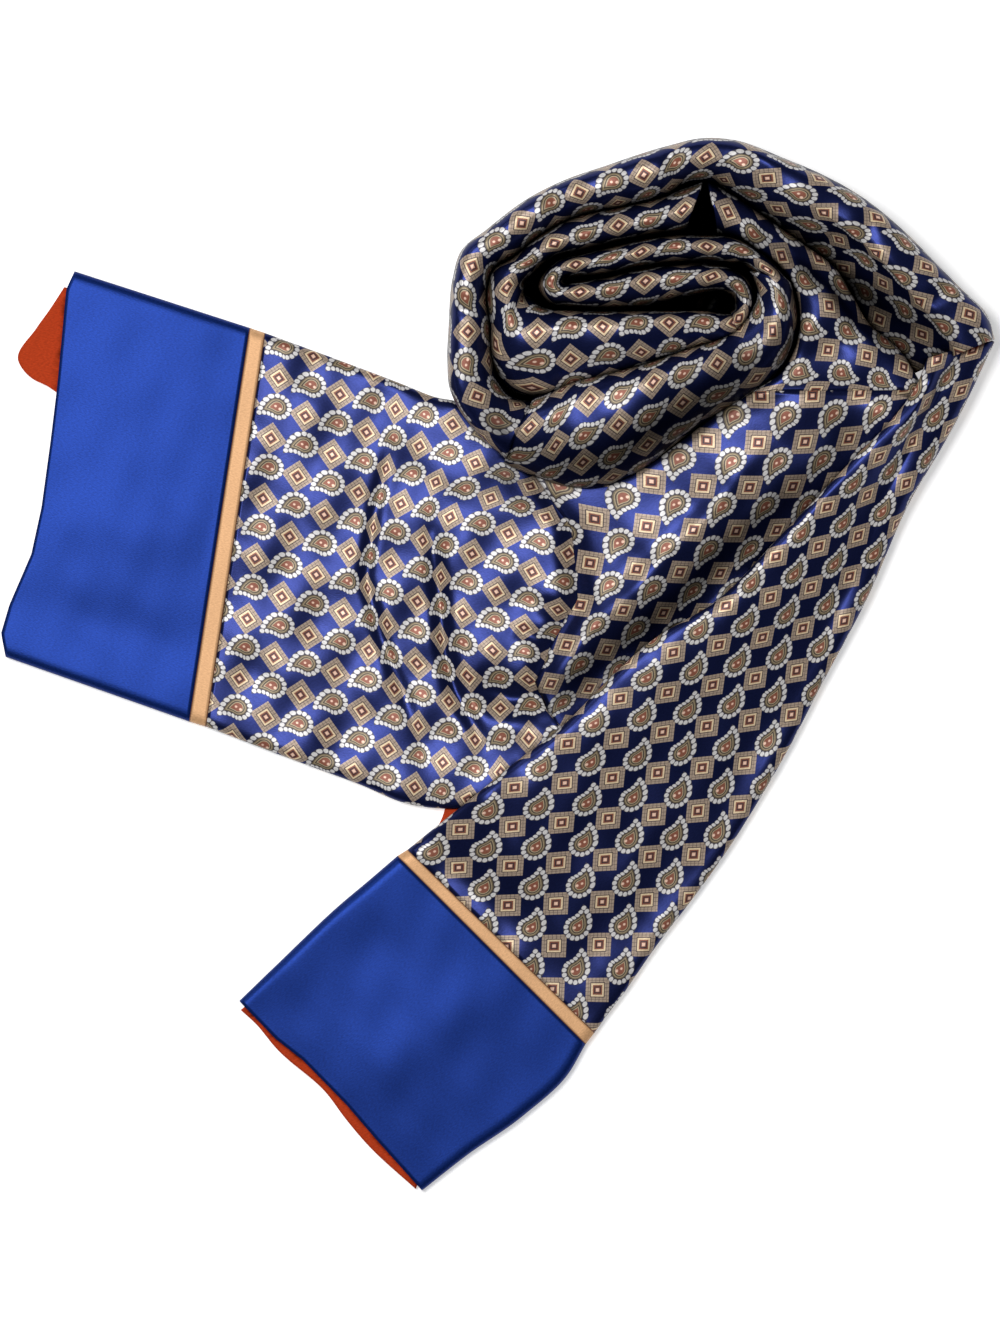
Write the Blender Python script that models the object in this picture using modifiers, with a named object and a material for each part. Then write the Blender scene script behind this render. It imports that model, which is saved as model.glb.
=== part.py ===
"""A long silk neck scarf, folded lengthwise and lying on a table: two flat tails, and its middle
rolled up on edge into a double coil.

The cloth runs from end B (the lower tail, right_tail_*), round the coil and out to end A (the
upper tail, left_tail_*). Left and right in the tables below are those of someone who walks along
the cloth that way. Every stretch is an open sheet, given its thickness by Solidify.
"""

import math

import bmesh
import bpy
import numpy as np

MM = 0.001

# Driving sizes, in metres
CLOTH = 1.2 * MM  # the printed silk and its lining, sewn together, with the air between them
HEAP_TOP = 14 * MM  # the folds hidden under the coil
HEAP_LAYERS = 3  # that show at the heap's edge
LAYER_GROOVE = 1.6 * MM  # how far the groove between two layers goes in
HEAP_RINGS = (0.8, 0.55, 0.3)  # of the heap's top, as shares of its reach from the centre
LAYER_GAP = 0.3 * MM  # between two pieces that touch, and under a foot of the coil
SLIT = 1.5 * MM  # between the two flaps folded under a tail
LINING_LOW = 1.8 * MM  # how high the lining lies inside a tail
FOLD_STEPS = 4  # round each fold of a tail
TOP_STEPS = 8  # over a tail's top
ROUND_RIDGE = 2.4  # how square a section through the coil is: 2 is an ellipse
FLAT_RIDGE = 6.0  # the same for the spread-out middle

# Colours, as the photograph shows them
COLOURS = {
    "border_silk": ((0.022, 0.055, 0.36, 1.0), 0.38),
    "band_silk": ((0.72, 0.36, 0.15, 1.0), 0.5),
    "paisley_silk": ((0.10, 0.085, 0.11, 1.0), 0.42),
    "lining_cloth": ((0.50, 0.085, 0.035, 1.0), 0.65),
}

# The tails, in millimetres: both edges of the fold, what each edge lies on and how high it stands.
# Columns: left_x, left_y, right_x, right_y, left_low, left_top, right_low, right_top
RIGHT_TAIL = (
    (-99, -127.5, -29.5, -199.5, 0, 7, 0, 7),
    (-84.5, -113.5, -13, -186.5, 0, 8, 0, 8),
    (-62.5, -92.5, 9, -171, 0, 8.5, 0, 8.5),
    (-49.5, -81.5, 25, -156.5, 0, 9, 0, 8.5),
    (-39, -72.5, 32.5, -144, 0, 9, 0, 8.5),
    (-35, -70, 36, -139.5, 0, 9, 0, 8.5),
    (-29.5, -65.5, 38.5, -136, 0, 9, 0, 8.5),
    (-22, -59.5, 42.5, -130.5, 4, 13, 0, 9),
    (-14, -53, 46, -126, 11.6, 19.5, 0, 9),
    (5.5, -37, 59.5, -106.5, 14, 22, 0, 9),
    (22, -24.5, 74.5, -87, 15, 23, 0, 9.5),
    (42, -4.5, 90.5, -64, 16, 24.5, 0, 10),
    (60.5, 11.5, 110, -31, 17.2, 26, 0, 11),
    (80, 23, 120.5, -10.5, 18.2, 27, 0, 12),
    (107, 50, 139, 24.5, 19.8, 28.5, 0, 14),
    (137, 81.5, 157.5, 65.5, 21.2, 30, 0, 17.5),
    (146.5, 91, 167, 81.5, 21.8, 30.5, 0, 19.5),
    (155.5, 102.5, 175, 96, 22.4, 30.5, 0, 21),
    (161.5, 116, 187.5, 122.5, 22.6, 31, 0, 23),
)
RIGHT_BORDER_ROWS = 4  # of the rows above, the last that is blue border
RIGHT_BAND_ROWS = 5  # the last of the tan band
LEFT_TAIL = (
    (31.5, -38.5, 11.5, 74, 0, 13, 0, 13),
    (7.5, -51, -3, 90, 0, 11, 0, 12),
    (-12, -54.5, -14, 99, 0, 9.5, 0, 11),
    (-34, -53, -25.5, 102, 0, 9, 0, 9.5),
    (-53, -45.5, -38, 107, 0, 8.5, 0, 9),
    (-80, -35.5, -64.5, 117, 0, 8.5, 0, 8.5),
    (-111.5, -23.5, -89, 126, 0, 8.5, 0, 8.5),
    (-118, -21.5, -95, 128, 0, 8.5, 0, 8.5),
    (-152, -9.5, -129, 139, 0, 8.5, 0, 8.5),
    (-187.6, 3, -161.5, 149.5, 0, 8, 0, 8),
)
LEFT_FIELD_ROWS = 6  # the last row of the paisley field
LEFT_BAND_ROWS = 7  # the last of the tan band

# The coil, in millimetres: where the wall's two feet stand, how high its ridge is, how high each
# foot stands, and where the ridge lies between the right foot (0) and the left foot (1).
# Columns: left_x, left_y, right_x, right_y, left_low, right_low, ridge, lean
OUTER_TURN = (
    (161.5, 117.2, 187.6, 123.6, 14.4, 0, 29, 0.5),
    (152, 126, 184.5, 133, 14.4, 0, 31, 0.5),
    (143.5, 132, 175.5, 142, 14.4, 0, 33, 0.5),
    (133, 141.5, 165.5, 152, 14.4, 0, 36, 0.5),
    (124, 151, 153, 164.5, 14.4, 0, 38, 0.5),
    (113, 159, 139, 176, 14.4, 0, 40, 0.5),
    (101, 168.5, 123.5, 185, 14.4, 0, 41, 0.5),
    (89.5, 177.5, 107, 192, 14.4, 0, 42, 0.5),
    (80, 183.5, 89.5, 198.5, 14.4, 0, 42, 0.5),
    (72, 183, 78, 199.5, 14.4, 0, 42, 0.5),
    (61, 177.5, 61.5, 196, 14.4, 0, 42, 0.5),
    (45.5, 173.5, 40, 189, 14.4, 0, 42, 0.5),
    (28.5, 170, 23, 183, 14.4, 0, 41.5, 0.5),
    (17, 164, 9.5, 176, 14.4, 0, 41, 0.5),
    (5.5, 155.5, -5, 165, 14.4, 0, 40, 0.5),
    (-3, 150, -15, 156.5, 14.4, 0, 39, 0.5),
    (-5.5, 142.5, -18, 146.5, 14.4, 0, 38, 0.5),
    (-4.5, 129, -19.5, 129, 14.4, 0, 37, 0.5),
    (-4, 118, -20, 115, 14.4, 2, 36, 0.5),
    (-3, 109, -19, 104.5, 14.4, 11, 35, 0.5),
    (1, 102.5, -15, 96, 14.4, 12.6, 34, 0.5),
    (6.5, 99, -7.5, 86.5, 14.4, 14, 33, 0.5),
    (11.5, 98.5, 2, 78, 14.4, 14.6, 33, 0.5),
)
LOWER_TURN = (
    (12, 98.5, 2.5, 77.5, 14.4, 14.6, 33, 0.55),
    (17, 100, 12, 73.5, 14.4, 14.6, 33, 0.6),
    (27.5, 104.5, 23.5, 69.5, 14.4, 14.6, 34, 0.7),
    (42, 108, 38, 69, 14.4, 14.5, 35, 0.72),
    (56.5, 112, 53, 75, 14.4, 14.4, 36, 0.72),
    (70.5, 117, 68.5, 86.5, 14.4, 14.4, 37, 0.7),
    (80, 120, 81.5, 96, 14.4, 14.4, 37, 0.65),
    (89.5, 125.5, 96, 104.5, 14.4, 14.4, 37.5, 0.6),
    (96, 133, 106.5, 114, 14.4, 14.4, 38, 0.5),
    (99, 140.5, 112, 129, 14.4, 14.4, 38, 0.5),
    (97, 148, 110, 144.5, 14.4, 14.4, 38, 0.5),
)
HEART = (
    (95.5, 149.5, 108.5, 146, 14.4, 14.4, 38, 0.5),
    (92.5, 152.5, 100.5, 154, 14.4, 14.4, 38.5, 0.5),
    (88, 153, 91, 160, 14.4, 14.4, 39, 0.5),
    (78, 154, 76, 161.5, 14.4, 14.4, 40, 0.5),
    (56.5, 152, 59, 161, 14.4, 14.4, 40, 0.5),
    (37, 148, 43.5, 158, 14.4, 14.4, 39, 0.5),
    (29.5, 148, 30.5, 154.5, 14.4, 14.4, 38, 0.5),
    (25.5, 147.5, 22, 152, 14.4, 14.4, 37, 0.5),
    (24, 146.5, 17.5, 148, 14.4, 14.4, 37, 0.5),
    (23.5, 145, 15.5, 143.5, 14.4, 14.4, 37, 0.5),
    (24.5, 143.5, 19, 138, 14.4, 14.4, 37, 0.5),
    (28.5, 144, 25, 136.5, 14.4, 14.4, 37, 0.55),
    (37, 145, 37, 135.5, 14.4, 14.4, 37.5, 0.6),
    (56.5, 149.5, 55, 136.5, 14.4, 14.4, 38, 0.65),
    (78, 151, 70.5, 140, 14.4, 14.4, 37, 0.6),
    (89, 149.5, 84.5, 143.5, 14.4, 14.4, 35, 0.5),
)
INNER_TURN = (
    (84.5, 125, 84.5, 132.5, 14.4, 14.4, 34, 0.5),
    (78, 122, 78, 133.5, 14.4, 14.4, 37, 0.4),
    (68.5, 119, 68.5, 133.5, 14.4, 14.4, 39, 0.3),
    (56.5, 114.5, 53, 133.5, 14.4, 14.4, 40, 0.25),
    (42, 110, 38, 133.5, 14.4, 14.4, 40, 0.25),
    (27.5, 106.5, 26.5, 134, 14.4, 14.4, 39, 0.25),
    (17, 104, 16.5, 135, 14.4, 14.4, 38, 0.3),
    (4.5, 107.5, 13, 137.5, 14.4, 14.4, 37, 0.4),
    (-2.3, 118, 12, 140, 14.4, 14.4, 36, 0.5),
    (-3, 129, 11.5, 142.5, 14.4, 14.4, 36, 0.5),
    (-3.5, 142.5, 12, 145.5, 14.4, 14.4, 36.5, 0.5),
    (-1, 149.5, 13.5, 149, 14.4, 14.4, 37, 0.5),
    (6, 153.5, 16.5, 152, 14.4, 14.4, 37.5, 0.5),
    (16, 161, 21.5, 155, 14.4, 14.4, 38, 0.5),
    (28.5, 167.5, 31.5, 157, 14.4, 14.4, 38.5, 0.5),
    (45.5, 171.5, 45.5, 160.5, 14.4, 14.4, 39, 0.5),
    (61, 175, 61, 163.5, 14.4, 14.4, 39, 0.5),
    (71.5, 179.5, 67.5, 164, 14.4, 14.4, 38.5, 0.5),
    (76, 181.5, 70.5, 165, 14.4, 14.4, 38, 0.5),
)
SIDE_TURN = (
    (79, 181.5, 82, 164.5, 14.4, 14.4, 38, 0.5),
    (88.5, 175.5, 90, 162, 14.4, 14.4, 37, 0.5),
    (100.5, 166, 98, 157.5, 14.4, 14.4, 35, 0.5),
    (113, 157, 107, 151.5, 14.4, 14.4, 33, 0.5),
    (124, 148, 113, 142.5, 14.4, 14.4, 30.5, 0.5),
    (133, 138.5, 115, 130.5, 14.4, 14.4, 28, 0.5),
    (143.5, 129, 113, 119.5, 14.4, 14.4, 25.5, 0.5),
    (152, 120.5, 108.5, 111.5, 14.4, 14.4, 23.5, 0.5),
    (156.5, 102, 97.5, 103.5, 14.4, 14.4, 22, 0.5),
)
MIDDLE = (
    (156, 100.5, 96.5, 102.5, 0, 14.4, 21.8, 0.5),
    (154.5, 85.5, 94, 101, 0, 14.4, 21.5, 0.5),
    (137, 62.5, 83.5, 94, 0, 14.4, 20.5, 0.5),
    (119.5, 43.5, 72, 85, 0, 14.4, 19.3, 0.5),
    (100.5, 23, 59, 75.5, 0, 14.4, 18, 0.5),
    (81.5, 5.5, 46.5, 69, 0, 14.2, 17, 0.5),
    (64.5, -9.5, 34, 66.5, 0, 13.4, 15.5, 0.5),
    (47.5, -26.5, 23, 68, 0, 12.4, 14.5, 0.5),
    (32, -38, 12, 73.5, 0, 11, 13.2, 0.5),
)

# The heap's outline and how high its edge stands, in millimetres. Columns: x, y, top
HEAP_CENTRE = (68, 93)
HEAP_EDGE = (
    (-9.5, 142.5, 14),
    (-10.5, 123.5, 14),
    (-6.5, 107, 14),
    (4.5, 92, 13),
    (18, 78, 10.5),
    (24, 62.5, 10),
    (32.5, 24.5, 8),
    (36, -6, 7),
    (42, -20, 6),
    (57, -7, 8),
    (79, 12, 11),
    (104, 37, 13),
    (129, 62, 14),
    (148, 89.5, 14),
    (151.5, 108.5, 14),
    (149, 121.5, 14),
    (152, 137, 14),
    (138.5, 156, 14),
    (121.5, 169, 14),
    (102.5, 179.5, 14),
    (83.5, 187, 14),
    (68.5, 186, 14),
    (49.5, 180.5, 14),
    (30.5, 174.5, 14),
    (13.5, 167.5, 14),
    (0, 156.5, 14),
)

# The lining where it shows past an end, in millimetres: its outer edge, and the one in the tail
# Columns: outer_x, outer_y, inner_x, inner_y
LEFT_LINING = (
    (-165.5, 143.5, -148, 138.5),
    (-176, 128, -150.5, 121.5),
    (-183, 115.5, -153, 108.5),
    (-169, 105, -156, 93),
)
RIGHT_LINING = (
    (-98.5, -131, -86.5, -121.5),
    (-85.5, -145, -75, -135.5),
    (-66, -162.5, -56, -153),
    (-49.5, -183, -39.5, -173.5),
    (-32, -199, -27, -186),
)


def read_rows(table, count):
    """The table as a smooth curve of rows, read at count + 1 equal steps along its middle."""
    rows = np.array(table, dtype=float) * MM
    places = (rows[:, 0:2] + rows[:, 2:4]) / 2
    steps = np.linalg.norm(np.diff(places, axis=0), axis=1)
    at = np.concatenate([[0.0], np.cumsum(steps)])
    slope = np.gradient(rows, at, axis=0)
    wanted = np.linspace(0.0, at[-1], count + 1)
    first = np.clip(np.searchsorted(at, wanted, side="right") - 1, 0, len(at) - 2)
    span = (at[first + 1] - at[first])[:, None]
    t = ((wanted - at[first]) / span[:, 0])[:, None]
    step_up = t * t * (3 - 2 * t)
    curve = (1 - step_up) * rows[first] + step_up * rows[first + 1]
    curve += t * (1 - t) ** 2 * span * slope[first]
    curve -= t * t * (1 - t) * span * slope[first + 1]
    return curve


def silk(slot):
    """The plain material of one of the scarf's cloths."""
    colour, roughness = COLOURS[slot]
    material = bpy.data.materials.get(slot)
    if material is None:
        material = bpy.data.materials.new(slot)
        material.use_nodes = True
        shader = material.node_tree.nodes["Principled BSDF"]
        shader.inputs["Base Color"].default_value = colour
        shader.inputs["Roughness"].default_value = roughness
        shader.inputs["Metallic"].default_value = 0.0
    return material


def add_cloth(name, slot, sections):
    """A sheet laid through the sections, each a list of points from right to left over the top."""
    along = len(sections) - 1
    across = len(sections[0]) - 1
    sheet = bmesh.new()
    bmesh.ops.create_grid(sheet, x_segments=along, y_segments=across, size=0.5)
    for vertex in sheet.verts:
        section = sections[round((vertex.co.x + 0.5) * along)]
        vertex.co = section[round((vertex.co.y + 0.5) * across)]
    piece = add_piece(name, slot, sheet)
    wall = piece.modifiers.new("wall", "SOLIDIFY")
    wall.thickness = CLOTH
    wall.offset = -1.0
    return piece


def add_piece(name, slot, shape):
    mesh = bpy.data.meshes.new(name)
    shape.to_mesh(mesh)
    shape.free()
    mesh.shade_smooth()
    mesh.set_sharp_from_angle(angle=math.radians(50))
    mesh.materials.append(silk(slot))
    piece = bpy.data.objects.new(name, mesh)
    scarf.objects.link(piece)
    return piece


def fold_points(low, top, flap_end):
    """From the flap's end, half-way along it, and round the fold, as (in from the edge, height)."""
    radius = (top - low) / 2
    points = [(flap_end, low), ((flap_end + radius) / 2, low)]
    for step in range(FOLD_STEPS + 1):
        turn = math.pi * step / FOLD_STEPS
        points.append((radius * (1 - math.sin(turn)), low + radius * (1 - math.cos(turn))))
    return points


def folded_section(row):
    """Across a tail: a flap underneath, round the right fold, over the top and back underneath."""
    left_x, left_y, right_x, right_y, left_low, left_top, right_low, right_top = row
    width = math.hypot(left_x - right_x, left_y - right_y)
    right_radius = (right_top - right_low) / 2
    left_radius = (left_top - left_low) / 2
    half = (width - SLIT) / 2
    points = fold_points(right_low, right_top, max(half, right_radius + MM))
    for step in range(1, TOP_STEPS):
        part = step / TOP_STEPS
        across = right_radius + part * (width - left_radius - right_radius)
        ease = part * part * (3 - 2 * part)
        points.append((across, right_top + ease * (left_top - right_top)))
    for inward, height in reversed(fold_points(left_low, left_top, max(half, left_radius + MM))):
        points.append((width - inward, height))
    return [between((right_x, right_y), (left_x, left_y), across / width, z) for across, z in points]


def between(start, end, share, height):
    return (start[0] + (end[0] - start[0]) * share, start[1] + (end[1] - start[1]) * share, height)


def standing_section(row, steps, squareness):
    """Across a turn of the coil: up from the right foot, over the ridge and down to the left foot."""
    left_x, left_y, right_x, right_y, left_low, right_low, ridge, lean = row
    lean = lean / MM  # the table's only column that isn't a length
    points = []
    for step in range(steps + 1):
        turn = math.pi * step / steps
        side = abs(math.cos(turn)) ** (2 / squareness)
        rise = max(math.sin(turn), 0.0) ** (2 / squareness)
        share, foot = lean * (1 - side), right_low
        if step * 2 > steps:
            share, foot = lean + (1 - lean) * side, left_low
        foot = max(foot, LAYER_GAP)
        points.append(between((right_x, right_y), (left_x, left_y), share, foot + (ridge - foot) * rise))
    return points


def add_tail(name, slot, table, count):
    """One colour of a tail: both of its ends stand half a gap back from the seam."""
    rows = read_rows(table, count)
    rows[0, :4] += pull_back(rows[0], rows[1])
    rows[-1, :4] += pull_back(rows[-1], rows[-2])
    add_cloth(name, slot, [folded_section(row) for row in rows])


def pull_back(row, inner_row):
    """How far the four plan columns of an end row move towards the row inside it."""
    back = (inner_row[:4] - row[:4]).reshape(2, 2)
    back *= (LAYER_GAP / 2) / np.linalg.norm(back, axis=1)[:, None]
    return back.reshape(4)


def add_turn(name, table, count, steps=8, squareness=ROUND_RIDGE):
    rows = read_rows(table, count)
    add_cloth(name, "paisley_silk", [standing_section(row, steps, squareness) for row in rows])


def add_heap():
    """The folds hidden inside the coil, as one body: a flat foot, layered edges and a soft top."""
    edge = np.array(HEAP_EDGE, dtype=float) * MM
    centre = np.array(HEAP_CENTRE, dtype=float) * MM
    outward = edge[:, :2] - centre
    reach = np.linalg.norm(outward, axis=1)[:, None]
    outward /= reach
    tops = edge[:, 2:]

    # Up the edge, a groove between each two layers; then in over the top
    profile = [(LAYER_GROOVE, 0.0)]
    for layer in range(HEAP_LAYERS):
        profile.append((0.0, (layer + 0.5) / HEAP_LAYERS))
        profile.append((LAYER_GROOVE, (layer + 1) / HEAP_LAYERS))
    rings = []
    for inset, share in profile:
        place = centre + outward * (reach - inset)
        rings.append(np.hstack([place, share * tops]))
    for scale in HEAP_RINGS:
        place = centre + outward * reach * scale
        rings.append(np.hstack([place, HEAP_TOP - (HEAP_TOP - tops) * scale**4]))

    heap = bmesh.new()
    foot = [heap.verts.new(point) for point in rings[0]]
    heap.faces.new(foot[::-1])
    below = foot
    for ring in rings[1:]:
        above = [heap.verts.new(point) for point in ring]
        for corner in range(len(above)):
            following = (corner + 1) % len(above)
            heap.faces.new((below[corner], below[following], above[following], above[corner]))
        below = above
    heap.faces.new(below)
    bmesh.ops.recalc_face_normals(heap, faces=heap.faces)
    add_piece("hidden_layers", "paisley_silk", heap)


def add_lining(name, table, count):
    """A flat strip of the lining, half inside the end of a tail."""
    rows = read_rows(table, count)
    top = LINING_LOW + CLOTH
    sections = [[between(row[:2], row[2:], share, top) for share in (0.0, 0.5, 1.0)] for row in rows]
    add_cloth(name, "lining_cloth", sections)


for old in list(bpy.data.objects):
    bpy.data.objects.remove(old, do_unlink=True)
scarf = bpy.data.collections.new("neck_scarf")
bpy.context.scene.collection.children.link(scarf)

add_tail("right_tail_border", "border_silk", RIGHT_TAIL[: RIGHT_BORDER_ROWS + 1], 7)
add_tail("right_tail_band", "band_silk", RIGHT_TAIL[RIGHT_BORDER_ROWS : RIGHT_BAND_ROWS + 1], 1)
add_tail("right_tail_field", "paisley_silk", RIGHT_TAIL[RIGHT_BAND_ROWS:], 24)
add_turn("outer_turn", OUTER_TURN, 40)
add_turn("lower_turn", LOWER_TURN, 16)
add_turn("heart", HEART, 30)
add_turn("inner_turn", INNER_TURN, 36)
add_turn("side_turn", SIDE_TURN, 12)
add_turn("middle_stretch", MIDDLE, 14, steps=12, squareness=FLAT_RIDGE)
add_tail("left_tail_field", "paisley_silk", LEFT_TAIL[: LEFT_FIELD_ROWS + 1], 12)
add_tail("left_tail_band", "band_silk", LEFT_TAIL[LEFT_FIELD_ROWS : LEFT_BAND_ROWS + 1], 1)
add_tail("left_tail_border", "border_silk", LEFT_TAIL[LEFT_BAND_ROWS:], 6)
add_lining("left_tail_lining", LEFT_LINING, 6)
add_lining("right_tail_lining", RIGHT_LINING, 6)
add_heap()
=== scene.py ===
"""The looks of a long silk neck scarf: two folded tails lie flat, and its middle is rolled up.

Places in the tables are in millimetres, in the model's frame. Left and right are those of someone
who walks along the cloth from the lower tail's end, round the coil, to the upper tail's end.
"""

import math

import bmesh
import bpy
import numpy as np
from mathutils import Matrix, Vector


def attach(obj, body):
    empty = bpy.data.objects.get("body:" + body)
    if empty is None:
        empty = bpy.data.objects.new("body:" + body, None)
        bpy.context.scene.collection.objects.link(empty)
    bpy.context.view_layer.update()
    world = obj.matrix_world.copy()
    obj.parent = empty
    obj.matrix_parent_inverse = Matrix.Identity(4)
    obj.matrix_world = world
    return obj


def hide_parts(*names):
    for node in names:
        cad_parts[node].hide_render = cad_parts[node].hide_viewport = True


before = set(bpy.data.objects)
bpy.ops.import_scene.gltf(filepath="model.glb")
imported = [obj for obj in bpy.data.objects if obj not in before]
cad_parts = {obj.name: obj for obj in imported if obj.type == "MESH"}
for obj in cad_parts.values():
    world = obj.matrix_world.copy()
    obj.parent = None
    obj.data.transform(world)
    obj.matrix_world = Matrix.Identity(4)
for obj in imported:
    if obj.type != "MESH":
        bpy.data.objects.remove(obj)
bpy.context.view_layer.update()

# ---------------------------------------------------------------------------------------------
# The table, the lamps and the camera
# A plain white table, lit by a soft lamp a little to the upper left and by the pale room.
# The camera looks straight down from far away, as the photograph was taken.
# ---------------------------------------------------------------------------------------------
TABLE_REACH = 3.0  # from its middle to each side
VIEW_HEIGHT = 0.5065  # of the table, from the top to the bottom of the picture
VIEW_CENTRE = (0.0, -0.00057)
CAMERA_HEIGHT = 5.0
SENSOR = 36.0

scene = bpy.context.scene
scene.view_settings.view_transform = "Standard"

table_shape = bmesh.new()
bmesh.ops.create_grid(table_shape, x_segments=4, y_segments=4, size=TABLE_REACH)
table_mesh = bpy.data.meshes.new("table_top")
table_shape.to_mesh(table_mesh)
table_shape.free()
table_top = bpy.data.objects.new("table_top", table_mesh)
scene.collection.objects.link(table_top)
white = bpy.data.materials.new("white_table")
white.use_nodes = True
table_paint = white.node_tree.nodes["Principled BSDF"]
table_paint.inputs["Base Color"].default_value = (0.93, 0.93, 0.93, 1.0)
table_paint.inputs["Roughness"].default_value = 0.9
table_paint.inputs["Specular IOR Level"].default_value = 0.1
table_paint.inputs["Emission Color"].default_value = (1.0, 1.0, 1.0, 1.0)
table_paint.inputs["Emission Strength"].default_value = 0.5
table_mesh.materials.append(white)

room = bpy.data.worlds.new("room")
scene.world = room
room.use_nodes = True
room.node_tree.nodes["Background"].inputs["Color"].default_value = (0.95, 0.97, 1.0, 1.0)
room.node_tree.nodes["Background"].inputs["Strength"].default_value = 0.08


def hang_lamp(name, place, size, power):
    """A square soft lamp that points at the middle of the table."""
    lamp = bpy.data.lights.new(name, "AREA")
    lamp.shape = "SQUARE"
    lamp.size = size
    lamp.energy = power
    holder = bpy.data.objects.new(name, lamp)
    holder.location = place
    holder.rotation_euler = Vector(place).to_track_quat("Z", "Y").to_euler()
    scene.collection.objects.link(holder)


hang_lamp("main_lamp", place=(-0.36, 0.26, 1.9), size=0.5, power=26.0)
hang_lamp("side_lamp", place=(-0.95, 0.9, 0.9), size=0.6, power=4.0)

lens = bpy.data.cameras.new("camera")
lens.sensor_width = SENSOR
lens.lens = SENSOR * CAMERA_HEIGHT / VIEW_HEIGHT
lens.clip_end = 10 * CAMERA_HEIGHT
camera = bpy.data.objects.new("camera", lens)
camera.location = (*VIEW_CENTRE, CAMERA_HEIGHT)
scene.collection.objects.link(camera)
scene.camera = camera

# ---------------------------------------------------------------------------------------------
# The lower tail's border
# The end of the printed length, plain royal blue. The cloth is folded in half lengthwise, so it
# lies as a flat tube: a flap on each side underneath, a soft fold down each side, the face on top.
# ---------------------------------------------------------------------------------------------
MM = 0.001
SILK = 1.0 * MM  # the face and the lining together
SLIT = 1.5 * MM  # between the two flaps underneath
PRESSED = 0.72  # how round a fold is: 1 is a half circle, less is nearer to a square
FLAP_STEPS = 10
FOLD_STEPS = 14
TOP_STEPS = 96
REPEAT = 12.6 * MM  # from a printed square to the paisley beside it

# Both edges of the fold, what each edge lies on and how high it stands.
# Columns: left_x, left_y, right_x, right_y, left_low, left_top, right_low, right_top
RIGHT_TAIL = (
    (-99, -127.5, -29.5, -199.5, 0, 7, 0, 7),
    (-84.5, -113.5, -13, -186.5, 0, 8, 0, 8),
    (-62.5, -92.5, 9, -171, 0, 8.5, 0, 8.5),
    (-49.5, -81.5, 25, -156.5, 0, 9, 0, 8.5),
    (-39, -72.5, 32.5, -144, 0, 9, 0, 8.5),
    (-35, -70, 36, -139.5, 0, 9, 0, 8.5),
    (-29.5, -65.5, 38.5, -136, 0, 9, 0, 8.5),
    (-22, -59.5, 42.5, -130.5, 4, 13, 0, 9),
    (-14, -53, 46, -126, 11.6, 19.5, 0, 9),
    (5.5, -37, 59.5, -106.5, 14, 22, 0, 9),
    (22, -24.5, 74.5, -87, 15, 23, 0, 9.5),
    (42, -4.5, 90.5, -64, 16, 24.5, 0, 10),
    (60.5, 11.5, 110, -31, 17.2, 26, 0, 11),
    (80, 23, 120.5, -10.5, 18.2, 27, 0, 12),
    (107, 50, 139, 24.5, 19.8, 28.5, 0, 14),
    (137, 81.5, 157.5, 65.5, 21.2, 30, 0, 17.5),
    (146.5, 91, 167, 81.5, 21.8, 30.5, 0, 19.5),
    (155.5, 102.5, 175, 96, 22.4, 30.5, 0, 21),
    (161.5, 116, 187.5, 122.5, 22.6, 31, 0, 23),
)
RIGHT_BORDER_ROWS = 4  # the last row above that is border
RIGHT_BAND_ROWS = 5  # the last of the band

# Printed squares on the lower tail, and their number along the cloth and to the left.
# Columns: x, y, along, left
RIGHT_SQUARES = (
    (38.3, -90.8, -3, 1),
    (56.4, -90.4, -2, 0),
    (57.3, -73.6, -1, 1),
    (4.4, -62.5, -3, 5),
    (5.6, -45.2, -2, 6),
    (23.3, -43.9, -1, 5),
    (43.1, -27.3, 1, 5),
    (41.8, -42.0, 0, 4),
    (40.8, -56.7, -1, 3),
    (22.6, -59.2, -2, 4),
    (22.0, -74.0, -3, 3),
    (4.1, -76.8, -4, 4),
    (39.3, -72.7, -2, 2),
    (59.1, -56.1, 0, 2),
    (77.0, -54.8, 1, 1),
    (90.7, -54.3, 2, 0),
    (25.2, -27.8, 0, 6),
    (110.9, -19.6, 5, 1),
    (44.3, -11.4, 2, 6),
    (64.2, 5.6, 4, 6),
    (85.0, 22.0, 6, 6),
    (132.9, 31.4, 9, 3),
    (103.3, 41.5, 8, 6),
    (122.2, 59.8, 10, 6),
    (140.4, 63.6, 11, 5),
    (140.4, 80.1, 12, 6),
    (159.4, 84.0, 13, 5),
    (160.4, 100.5, 14, 6),
)

# Soft troughs in the lower tail, and ridges where the depth is negative.
# Columns: width, depth, then the places that the fold runs through
RIGHT_CREASES = (
    (14.0, 0.5, ((-92, -150), (-50, -112), (-20, -92))),
    (12.0, -0.5, ((-60, -170), (-24, -138), (10, -118))),
    (8.0, 1.2, ((10, -86), (34, -60), (62, -34), (84, -8))),
    (6.0, -0.9, ((34, -92), (58, -64), (84, -36), (104, -8))),
    (5.0, 1.4, ((96, 24), (118, 46), (136, 68), (148, 86))),
    (5.0, -1.2, ((112, 18), (132, 40), (150, 66), (162, 90))),
    (3.5, 1.5, ((150, 98), (160, 106), (172, 112))),
)


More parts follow.
